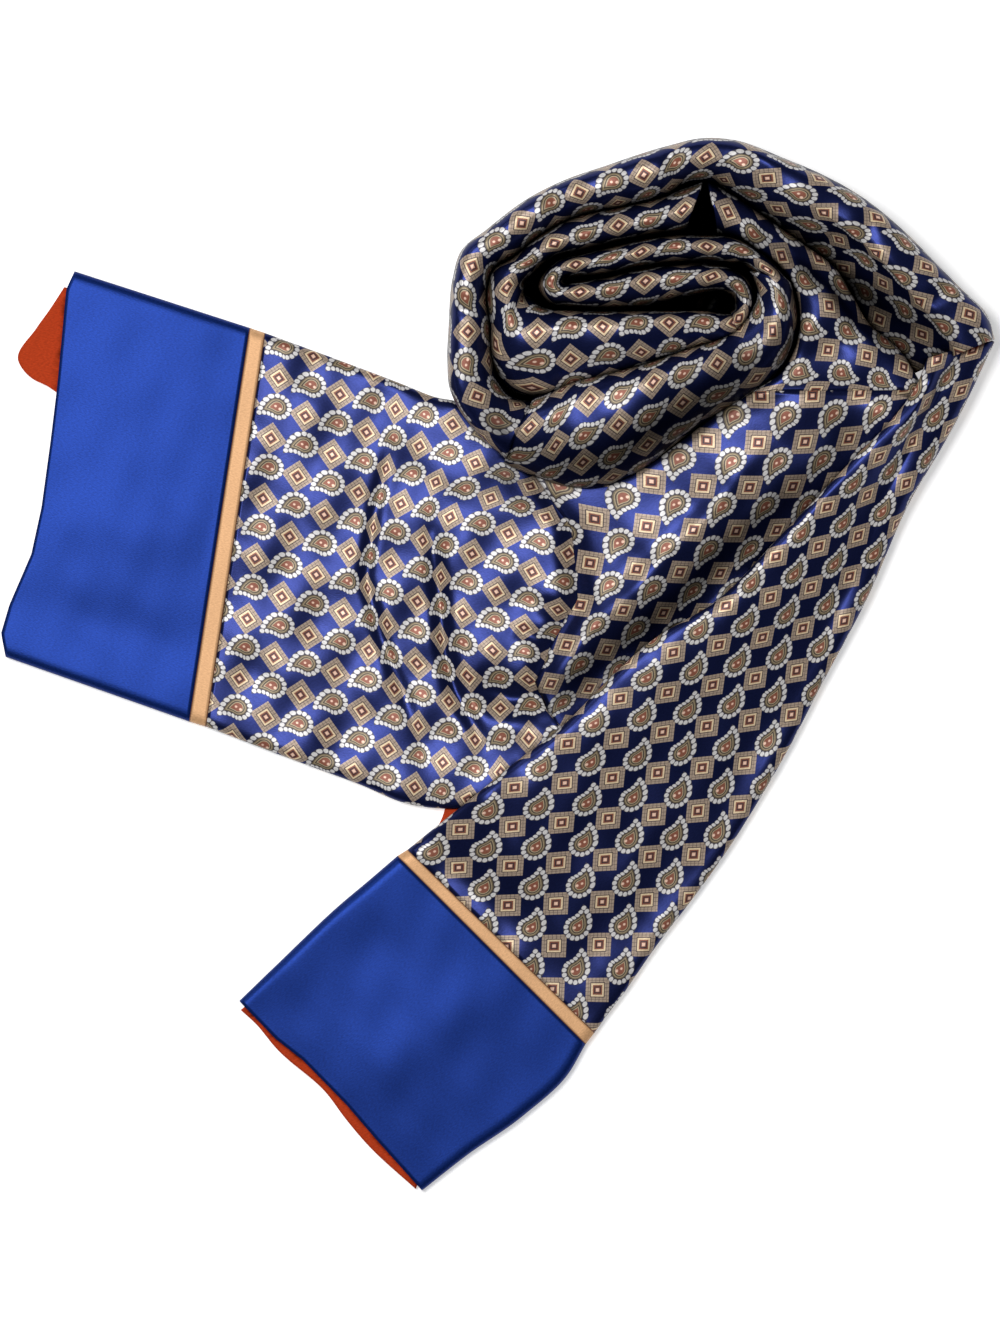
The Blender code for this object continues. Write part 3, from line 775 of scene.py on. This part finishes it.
def standing_section(row, spread, right_square, left_square):
    """Across a strand: up from the right foot, over the ridge and down to the left foot.

    Its feet spread further out by (right, left), under the strands beside it.
    """
    left_x, left_y, right_x, right_y, left_low, right_low, ridge, lean = row
    lean = lean / MM  # the table's only column that isn't a length
    left = np.array((left_x, left_y))
    right = np.array((right_x, right_y))
    across = (left - right) / np.linalg.norm(left - right)
    top = right + (left - right) * lean
    right = right - across * spread[0] * MM
    left = left + across * spread[1] * MM
    step = np.arange(STRAND_STEPS + 1)
    turn = math.pi * step / STRAND_STEPS
    to_left = step * 2 > STRAND_STEPS
    power = 2 / np.where(to_left, left_square, right_square)
    side = (np.abs(np.cos(turn)) ** power)[:, None]
    rise = np.clip(np.sin(turn), 0.0, 1.0) ** power
    foot = np.maximum(np.where(to_left, left_low, right_low), LAYER_GAP)
    height = foot + (ridge - foot) * rise
    plan = top + np.where(to_left[:, None], left - top, right - top) * side
    return np.hstack([plan, height[:, None]])


def print_over_ridge(sections, start):
    """The print on a strand, measured along its ridge and down both sides, from start."""
    middle = STRAND_STEPS // 2
    along = lengths_from(sections[:, middle], 0) + start * REPEAT
    across = np.array([lengths_from(section, middle) for section in sections])
    return np.stack([np.broadcast_to(along[:, None], across.shape), across], axis=-1)


def add_strand(name, rows, spread, squares, creases=(), start=0.0):
    """Adds one strand of the coil, and says how far along the print it ends, in repeats.

    squares is how square its right side is, and its left: at the start, and from a third on.
    """
    right_square, left_start, left_square = squares
    part = np.linspace(0.0, 1.0, len(rows))
    left = np.interp(part, (0.0, 0.22, 0.35), (left_start, left_start, left_square))
    sections = np.array([
        standing_section(row, spread, right_square, left_square)
        for row, left_square in zip(rows, left)
    ])
    press_creases(sections, creases, COIL_RIPPLE, UPPER_STRAND)
    prints = print_over_ridge(sections, start)
    strand = lay_cloth(name, paisley_silk, sections, prints)
    return prints[-1, STRAND_STEPS // 2, 0] / REPEAT


outer_rows = read_rows(OUTER_TURN, 320)
lower_rows = read_rows(LOWER_TURN, 110)
heart_rows = read_rows(HEART, 170)
lower_rows[0] = outer_rows[-1]
heart_rows[0] = lower_rows[-1]
reached = add_strand(
    "outer_turn", outer_rows, spread=(0, 2),
    squares=(4.5, 0.75, ROUND_RIDGE), creases=OUTER_CREASES,
)
reached = add_strand(
    "lower_turn", lower_rows, spread=(1.5, 3.5),
    squares=(2.0, 2.4, 2.4), start=reached,
)
add_strand(
    "heart", heart_rows, spread=(1.2, 1.5),
    squares=(2.0, 2.0, 2.0), start=reached,
)

# ---------------------------------------------------------------------------------------------
# The coil's second strand
# The cloth comes out from under the heart, goes round the left side inside the first strand, up
# to the peak, and down the right side.
# ---------------------------------------------------------------------------------------------
INNER_TURN = (
    (89.5, 126, 87.5, 132.5, 14.4, 14.4, 34.5, 0.5),
    (84.5, 123.5, 84, 132.5, 14.4, 14.4, 35.5, 0.45),
    (78, 122, 78, 133.5, 14.4, 14.4, 37, 0.4),
    (68.5, 119, 68.5, 133.5, 14.4, 14.4, 39, 0.3),
    (56.5, 114.5, 53, 133.5, 14.4, 14.4, 40, 0.25),
    (42, 110, 38, 133.5, 14.4, 14.4, 40, 0.25),
    (27.5, 106.5, 26.5, 134, 14.4, 14.4, 39, 0.25),
    (17, 104, 16.5, 135, 14.4, 14.4, 38, 0.3),
    (4.5, 107.5, 13, 137.5, 14.4, 14.4, 37, 0.4),
    (-2.3, 118, 9.5, 140, 14.4, 14.4, 36, 0.5),
    (-3, 129, 9.2, 142.5, 14.4, 14.4, 36, 0.5),
    (-3.5, 142.5, 9.5, 145.5, 14.4, 14.4, 36.5, 0.5),
    (-1, 149.5, 13.5, 149, 14.4, 14.4, 37, 0.5),
    (6, 153.5, 16.5, 152, 14.4, 14.4, 37.5, 0.5),
    (16, 161, 21.5, 155, 14.4, 14.4, 38, 0.5),
    (28.5, 167.5, 31.5, 157, 14.4, 14.4, 38.5, 0.5),
    (45.5, 171.5, 45.5, 160.5, 14.4, 14.4, 39, 0.5),
    (61, 175, 61, 163.5, 14.4, 14.4, 39, 0.5),
    (71.5, 179.5, 67.5, 164, 14.4, 14.4, 38.5, 0.5),
    (76, 181.5, 70.5, 165, 14.4, 14.4, 38, 0.5),
)
SIDE_TURN = (
    (79, 181.5, 82, 164.5, 14.4, 14.4, 38, 0.5),
    (88.5, 175.5, 90, 162, 14.4, 14.4, 37, 0.5),
    (100.5, 166, 98, 157.5, 14.4, 14.4, 35.5, 0.5),
    (113, 157, 107, 151.5, 14.4, 14.4, 34, 0.5),
    (124, 149, 113, 142.5, 14.4, 14.4, 32, 0.45),
    (131, 138, 115, 130.5, 14.4, 14.4, 30.5, 0.4),
    (138, 127, 113, 119.5, 14.4, 14.4, 28.5, 0.4),
    (148, 119, 108.5, 111.5, 14.4, 14.4, 27, 0.4),
    (158, 104, 97.5, 103.5, 14.4, 14.4, 26, 0.45),
)
SIDE_SQUARES = (
    (86.0, 170.5, 0, 0),
    (106.7, 154.6, 2, 0),
    (124.0, 136.6, 4, 0),
    (138.5, 115.9, 6, 0),
    (123.3, 117.3, 5, -1),
    (108.8, 120.1, 4, -2),
    (99.8, 100.7, 5, -3),
    (118.1, 102.3, 6, -2),
    (135.9, 103.5, 7, -1),
)
TURN_CREASE = (4.0, 1.6, ((96, 103), (118, 104), (140, 104), (160, 103)))
SIDE_CREASES = (
    TURN_CREASE,
    (4.0, 1.4, ((100, 146), (110, 138), (118, 128))),
    (4.0, 1.2, ((112, 116), (126, 122), (136, 120))),
)


SPREAD_FEET = (2, 3)  # how far its feet reach further out, to the right and to the left
FLAT_RIDGE = 6.0  # how square the spread-out middle is


def spread_section(row, square):
    """A standing section with its columns spaced evenly across, as its top is wide and flat."""
    section = standing_section(row, SPREAD_FEET, square, square)
    reach = lengths_from(section, 0)
    even = np.linspace(0.0, reach[-1], STRAND_STEPS + 1)
    return np.stack([np.interp(even, reach, part) for part in section.T], axis=-1)


def add_spread(name, rows, find, creases, squareness):
    sections = np.array([spread_section(row, square) for row, square in zip(rows, squareness)])
    press_creases(sections, creases, COIL_RIPPLE, UPPER_STRAND)
    prints = find(sections[:, :, :2])
    spread = lay_cloth(name, paisley_silk, sections, prints)


inner_rows = read_rows(INNER_TURN, 230)
add_strand("inner_turn", inner_rows, spread=(0.6, 3), squares=(2.2, 1.9, 1.9))
side_rows = read_rows(SIDE_TURN, 90)
squareness = np.linspace(ROUND_RIDGE, FLAT_RIDGE, len(side_rows))
on_side = square_finder(SIDE_SQUARES)
add_spread("side_turn", side_rows, on_side, SIDE_CREASES, squareness)

# ---------------------------------------------------------------------------------------------
# The spread-out middle
# Below the coil the second strand opens out flat and runs down towards the upper tail, partly
# under the lower one.
# ---------------------------------------------------------------------------------------------
MIDDLE = (
    (158, 102.5, 96.5, 102.5, 0, 14.4, 25.8, 0.5),
    (154.5, 85.5, 94, 101, 0, 14.4, 24.5, 0.5),
    (137, 62.5, 83.5, 94, 0, 14.4, 22.5, 0.5),
    (119.5, 43.5, 72, 85, 0, 14.4, 20.5, 0.5),
    (100.5, 23, 59, 75.5, 0, 14.4, 18, 0.5),
    (81.5, 5.5, 46.5, 69, 0, 14.2, 17, 0.5),
    (64.5, -9.5, 34, 66.5, 0, 13.4, 15.5, 0.5),
    (47.5, -26.5, 23, 68, 0, 12.4, 14.5, 0.5),
    (32, -38, 12, 73.5, 0, 11, 13.2, 0.5),
)
# Columns: x, y, along, left
MIDDLE_SQUARES = (
    (99.8, 100.7, 0, 0),
    (118.1, 102.3, -1, 1),
    (96.7, 85.0, 1, 1),
    (115.3, 85.0, 0, 2),
    (59.2, 67.3, 4, 0),
    (75.8, 68.4, 3, 1),
    (94.4, 67.9, 2, 2),
    (110.5, 66.7, 1, 3),
    (36.1, 56.4, 6, 0),
    (54.0, 52.6, 5, 1),
    (73.9, 51.2, 4, 2),
    (90.1, 49.7, 3, 3),
    (33.0, 39.2, 7, 1),
    (51.4, 38.0, 6, 2),
    (69.3, 34.6, 5, 3),
    (31.5, 21.3, 8, 2),
    (46.9, 20.1, 7, 3),
    (61.7, 20.1, 6, 4),
    (25.4, 7.5, 9, 3),
    (40.7, 5.6, 8, 4),
    (54.5, 5.6, 7, 5),
)
# The crease where the middle meets the upper tail, and how far it swings sideways
SEAM_CREASE = (4.0, 4.0, ((11, 76), (27, 52), (30, 25), (21, 9), (13, -6), (14, -20)))
SEAM_SWING_Y = (-38, -22, -6, 9, 25, 52, 74)
SEAM_SWING = (0, -8, -12, -3, 9, 12, 0)
SEAM_REACH = 26  # how far to each side the cloth swings with it
# The joint's two ends, where it would run straight
JOINT_Y = (-38.5, 74)
JOINT_X = (31.5, 11.5)
MIDDLE_CREASES = (
    TURN_CREASE,
    SEAM_CREASE,
    (13.0, 6.5, ((24, -26), (53, 1), (77, 19), (101, 41), (125, 63), (152, 92))),
    (5.0, -2.0, ((22, 2), (44, 22), (66, 44), (88, 66), (104, 88))),
    (4.0, 1.5, ((60, 82), (84, 92), (104, 100))),
)


def tuck_end(sections, last, further, down):
    """Adds one row past an end, further on and lower, so that the cloth turns down there."""
    inner = sections[last - 4 if last else 4]
    step = sections[last] - inner
    step[:, 2] = 0
    step *= further * MM / np.linalg.norm(step, axis=1)[:, None]
    turned = sections[last] + step
    turned[:, 2] = np.maximum(turned[:, 2] - down * MM, LAYER_GAP)
    return np.vstack([sections, turned[None]]) if last else np.vstack([turned[None], sections])


def swing_seam(sections):
    """Bends the straight joint between the middle and the upper tail to the fold's real line."""
    y = sections[:, :, 1] / MM
    joint = np.interp(y, JOINT_Y, JOINT_X)
    sway = np.interp(y, SEAM_SWING_Y, SEAM_SWING)
    near = np.exp(-(((sections[:, :, 0] / MM - joint) / SEAM_REACH) ** 2))
    sections[:, :, 0] += sway * near * MM


middle_rows = read_rows(MIDDLE, 150)
middle_rows[0] = side_rows[-1]
middle = np.array([spread_section(row, FLAT_RIDGE) for row in middle_rows])
swing_seam(middle)
press_creases(middle, MIDDLE_CREASES, COIL_RIPPLE, UPPER_STRAND)
middle = tuck_end(middle, len(middle) - 1, further=1.2, down=2.2)
on_middle = square_finder(MIDDLE_SQUARES)
middle_prints = on_middle(middle[:, :, :2])
middle = lay_cloth("middle_stretch", paisley_silk, middle, middle_prints)

# ---------------------------------------------------------------------------------------------
# The upper tail
# The cloth's other end, folded the same way: the print, then a tan band and a blue border. It is
# pushed together a little where it leaves the middle, in soft creases across it.
# ---------------------------------------------------------------------------------------------
LEFT_TAIL = (
    (31.5, -38.5, 11.5, 74, 0, 13, 0, 13),
    (7.5, -51, -3, 90, 0, 11, 0, 12),
    (-12, -54.5, -14, 99, 0, 9.5, 0, 11),
    (-34, -53, -25.5, 102, 0, 9, 0, 9.5),
    (-53, -45.5, -38, 107, 0, 8.5, 0, 9),
    (-80, -35.5, -64.5, 117, 0, 8.5, 0, 8.5),
    (-111.5, -23.5, -89, 126, 0, 8.5, 0, 8.5),
    (-118, -21.5, -95, 128, 0, 8.5, 0, 8.5),
    (-152, -9.5, -129, 139, 0, 8.5, 0, 8.5),
    (-187.6, 3, -161.5, 149.5, 0, 8, 0, 8),
)
LEFT_FIELD_ROWS = 6  # the last row of the printed field
LEFT_BAND_ROWS = 7  # the last of the band
# Columns: x, y, along, left
LEFT_SQUARES = (
    (-87.4, 85.7, 0, 0),
    (-75.1, 93.5, -1, -1),
    (-64.1, 79.9, -2, 0),
    (-77.7, 71.4, -1, 1),
    (-90.5, 63.5, 0, 2),
    (-73.8, 32.6, -1, 5),
    (-60.4, 14.9, -3, 5),
    (-98.0, 17.0, 0, 6),
    (-53.6, -22.8, -4, 8),
    (-43.6, -26.9, -5, 9),
)
LEFT_CREASES = (
    SEAM_CREASE,
    (2.4, 1.5, ((-42, 84), (-48, 56), (-51, 33), (-45, 10), (-37, -10), (-30, -30))),
    (2.8, 3.0, ((-26, 50), (-23, 26), (-21, 5), (-17, -10), (-6, -30))),
    (6.0, 6.0, ((-12, -8), (4, -13), (20, -12), (36, -4))),
    (3.0, 2.2, ((14, 24), (22, 20), (30, 14))),
    (3.0, 2.0, ((6, 14), (14, 10), (24, 4))),
    (12.0, 0.8, ((-184, 28), (-150, 14), (-112, 4))),
    (14.0, -0.6, ((-170, 60), (-140, 52), (-110, 46))),
)
# How much cloth the two creases across the tail take up.
# Columns: y, the crease's x, millimetres taken
GATHERS = (
    ((-40, -26, 3), (-10, -37, 3), (10, -45, 8), (33, -51, 9), (56, -48, 9), (84, -42, 3)),
    ((-40, 0, 2), (-10, -17, 5), (5, -21, 7), (26, -23, 7), (50, -26, 5), (74, -28, 1)),
)
GATHER_WIDTH = 4.0
# The cut end's shape: how far it bows out at each y
LEFT_END_Y = (3, 11, 22, 43, 61, 85, 106, 142, 149)
LEFT_END_BOW = (0, 3.3, 2.1, -2.8, -3.5, -2.5, -1.3, 1.8, 0)

on_plain_left = square_finder(LEFT_SQUARES, 1)


def on_left_tail(plan):
    """The print on the upper tail, less the cloth that its gathers take up."""
    x, y = plan[..., 0] / MM, plan[..., 1] / MM
    found = on_plain_left(plan)
    for gather in GATHERS:
        at_y, at_x, taken = np.array(gather, dtype=float).T
        past = (x - np.interp(y, at_y, at_x)) / GATHER_WIDTH
        found[..., 0] -= np.interp(y, at_y, taken) * MM * (1 + np.tanh(past)) / 2
    return found


def left_sections(table, count, ripple):
    sections = np.array([folded_section(row) for row in read_rows(table, count)])
    swing_seam(sections)
    press_creases(sections, LEFT_CREASES, ripple, upper_columns())
    return sections


left_field = left_sections(LEFT_TAIL[: LEFT_FIELD_ROWS + 1], 110, FIELD_RIPPLE)
left_field = tuck_end(left_field, 0, further=4.0, down=2.2)
left_band = left_sections(LEFT_TAIL[LEFT_FIELD_ROWS : LEFT_BAND_ROWS + 1], 5, BORDER_RIPPLE)
left_border = left_sections(LEFT_TAIL[LEFT_BAND_ROWS:], 50, BORDER_RIPPLE)
bow_end(left_border, len(left_border) - 1, LEFT_END_Y, LEFT_END_BOW)
left_field = add_tail("left_tail_field", paisley_silk, left_field, on_left_tail)
left_band = add_tail("left_tail_band", tan_silk, left_band, on_left_tail)
left_border = add_tail("left_tail_border", blue_silk, left_border, on_left_tail)

# ---------------------------------------------------------------------------------------------
# The lining
# Plain rust cloth of the same cut, sewn to the face along its edges. A strip of it shows past
# each end.
# ---------------------------------------------------------------------------------------------
LINING_TOP = 3.0  # how high it lies inside a tail
# Columns: outer_x, outer_y, inner_x, inner_y
LEFT_LINING = (
    (-165.5, 143.5, -148, 138.5),
    (-171, 135, -149.5, 130),
    (-176, 128, -150.5, 121.5),
    (-183, 115.5, -153, 108.5),
    (-178, 109, -154.5, 101),
    (-169, 105, -156, 93),
)
RIGHT_LINING = (
    (-98.5, -131, -86.5, -121.5),
    (-92.5, -136.5, -81, -128.5),
    (-85.5, -145, -75, -135.5),
    (-66, -162.5, -56, -153),
    (-58.5, -172.5, -48, -163),
    (-49.5, -183, -39.5, -173.5),
    (-32, -199, -27, -186),
)
# A corner of it that shows between the two tails
LINING_CORNER = (
    (-24, -62, -14, -60),
    (-22, -58, -13, -56),
    (-20.5, -53, -13, -51),
)
LINING_STEPS = 12


def add_lining(name, table, count, wave):
    """A strip of lining from its outer edge in, a little wavy."""
    rows = read_rows(table, count)[:, None, :]
    share = np.linspace(0.0, 1.0, LINING_STEPS + 1)[None, :, None]
    plan = rows[:, :, :2] * (1 - share) + rows[:, :, 2:] * share
    up = wave * np.sin(plan[:, :, :1] / (5 * MM)) * np.sin(plan[:, :, 1:] / (7 * MM) + 1)
    sections = np.concatenate([plan, (LINING_TOP + up) * MM], axis=2)
    return lay_cloth(name, rust, sections, plan)


left_lining = add_lining("left_tail_lining", LEFT_LINING, 40, 0.5)
right_lining = add_lining("right_tail_lining", RIGHT_LINING, 80, 0.3)
corner_lining = add_lining("lining_corner", LINING_CORNER, 10, 0.2)

# ---------------------------------------------------------------------------------------------
# The hidden layers
# The rest of the printed cloth, folded flat under and inside the coil. Its folded edge and its
# top show only in the deepest gaps.
# ---------------------------------------------------------------------------------------------
HEAP_TOP = 8.0
HEAP_LAYERS = 3  # that show at the heap's edge
LAYER_GROOVE = 1.6  # how far the groove between two layers goes in
LAYER_STEPS = 8
EDGE_STEPS = 160
TOP_RINGS = 24
HEAP_CENTRE = (68, 93)
# Columns: x, y, top
HEAP_EDGE = (
    (-9.5, 142.5, 14),
    (-10.5, 123.5, 14),
    (-6.5, 107, 14),
    (4.5, 92, 13),
    (18, 78, 10.5),
    (24, 62.5, 10),
    (32.5, 24.5, 8),
    (36, -6, 7),
    (42, -20, 6),
    (57, -7, 8),
    (79, 12, 11),
    (104, 37, 13),
    (129, 62, 14),
    (148, 89.5, 14),
    (151.5, 108.5, 14),
    (149, 121.5, 14),
    (152, 137, 14),
    (138.5, 156, 14),
    (121.5, 169, 14),
    (102.5, 179.5, 14),
    (83.5, 187, 14),
    (68.5, 186, 14),
    (49.5, 180.5, 14),
    (30.5, 174.5, 14),
    (13.5, 167.5, 14),
    (0, 156.5, 14),
)


def add_heap(edge):
    """Up the folded edge, with a groove between each two layers, then in over the top."""
    edge = np.array(edge + edge[:1], dtype=float)
    turn = np.linspace(0, len(edge) - 1, EDGE_STEPS)
    edge = np.stack([np.interp(turn, range(len(edge)), column) for column in edge.T], axis=-1)
    outward = edge[:, :2] - HEAP_CENTRE
    reach = np.linalg.norm(outward, axis=1)[:, None]
    outward /= reach
    steps = LAYER_STEPS * HEAP_LAYERS
    rings = []
    for step in range(steps + 1):
        share = step / steps
        inset = LAYER_GROOVE * abs(math.cos(math.pi * share * HEAP_LAYERS)) ** 3
        place = HEAP_CENTRE + outward * (reach - inset)
        rings.append(np.hstack([place, share * np.minimum(edge[:, 2:], HEAP_TOP)]))
    for share in np.linspace(0.96, 0.04, TOP_RINGS):
        place = HEAP_CENTRE + outward * reach * share
        rings.append(np.hstack([place, HEAP_TOP - (HEAP_TOP - rings[steps][:, 2:]) * share**4]))
    sections = np.array(rings).transpose(1, 0, 2) * MM
    return lay_cloth("hidden_layers", paisley_silk, sections, sections[:, :, :2])


heap = add_heap(HEAP_EDGE)

# ---------------------------------------------------------------------------------------------
# The painted shade deep in the folds
# Silk folded close keeps the light out. Each place on a cloth gets a share of the sky, from how
# high the cloth around it stands, and shade is painted into its colour where that share is small.
# ---------------------------------------------------------------------------------------------
CELL = 1.5 * MM  # of the map of how high the cloth stands
HALF_TABLE = 0.24  # how far that map goes from the middle
LOOKS = 12  # ways round in which a place looks for cloth that stands higher
REACHES = (1.5, 3.0, 5.0, 8.0, 12.0, 17.0, 24.0)  # and how far
OPEN_SKY = 0.58  # the share of the sky from which a place is fully lit
DARKEST_SKY = 0.12  # and down from which it is black
DEEPEN = 1.2
# Extra painted shade, where the folds stand so close that hardly any light gets in.
# Columns: the cloth, how far the dark reaches, how dark it is, then its route
PAINTED_FOLD_SHADE = (
    ("outer_turn", 8.0, 0.93, ((87, 178), (101, 164.5), (119, 152), (137.5, 141), (156, 128), (171, 120))),
    ("side_turn", 4.0, 0.9, ((98, 163), (112, 153), (124, 143), (134, 130), (150, 117))),
    ("lower_turn", 9.5, 0.86, ((4, 80), (22, 76), (40, 77), (64, 92), (88, 108), (106, 122))),
    ("outer_turn", 5.0, 0.8, ((-6, 96), (3, 86), (8, 78))),
    ("middle_stretch", 5.5, 0.85, ((12, 74), (40, 71), (66, 86), (94, 101))),
    ("middle_stretch", 8.5, 0.82, ((2, -33), (20, -13), (43, 6), (67, 25), (88, 47), (109, 64), (130, 88))),
    ("left_tail_field", 7.0, 0.7, ((8, 80), (2, 68), (16, 72))),
)


def standing_places(piece):
    places = np.empty(len(piece.data.vertices) * 3, dtype=np.float32)
    piece.data.vertices.foreach_get("co", places)
    return places.reshape(-1, 3)


def cell_of(place):
    return np.clip(((place + HALF_TABLE) / CELL).astype(int), 0, cells - 1)


cells = int(2 * HALF_TABLE / CELL) + 1
tops = np.zeros((cells, cells))
for piece in laid:
    places = standing_places(piece)
    np.maximum.at(tops, (cell_of(places[:, 0]), cell_of(places[:, 1])), places[:, 2])
for piece in laid:
    places = standing_places(piece)
    sky = np.zeros(len(places))
    for look in range(LOOKS):
        turn = 2 * math.pi * look / LOOKS
        steepest = np.zeros(len(places))
        for reach in REACHES:
            x = cell_of(places[:, 0] + reach * MM * math.cos(turn))
            y = cell_of(places[:, 1] + reach * MM * math.sin(turn))
            steepest = np.maximum(steepest, (tops[x, y] - places[:, 2]) / (reach * MM))
        sky += 1 / (1 + steepest**2)
    faces_up = np.empty(len(places) * 3, dtype=np.float32)
    piece.data.vertex_normals.foreach_get("vector", faces_up)
    under = np.clip(-faces_up[2::3] * 4, 0.0, 1.0)
    # Painted shade: less sky makes a darker colour, and darker still along each listed deep fold
    shade = np.clip((sky / LOOKS - DARKEST_SKY) / (OPEN_SKY - DARKEST_SKY), 0.0, 1.0) ** DEEPEN
    for cloth, reach, dark, route in PAINTED_FOLD_SHADE:
        if piece.name == cloth + "_cloth":
            nearest, at = off_route(places[:, :2], route)
            fade = np.sin(math.pi * np.clip(at, 0.05, 0.95)) ** 0.4
            shade = shade * (1 - dark * fade * np.exp(-((nearest / (reach * MM)) ** 2)))
    shade = shade + (1 - shade) * under
    on_cloth = piece.data.attributes.new("shade", "FLOAT", "POINT")
    on_cloth.data.foreach_set("value", shade.astype(np.float32))
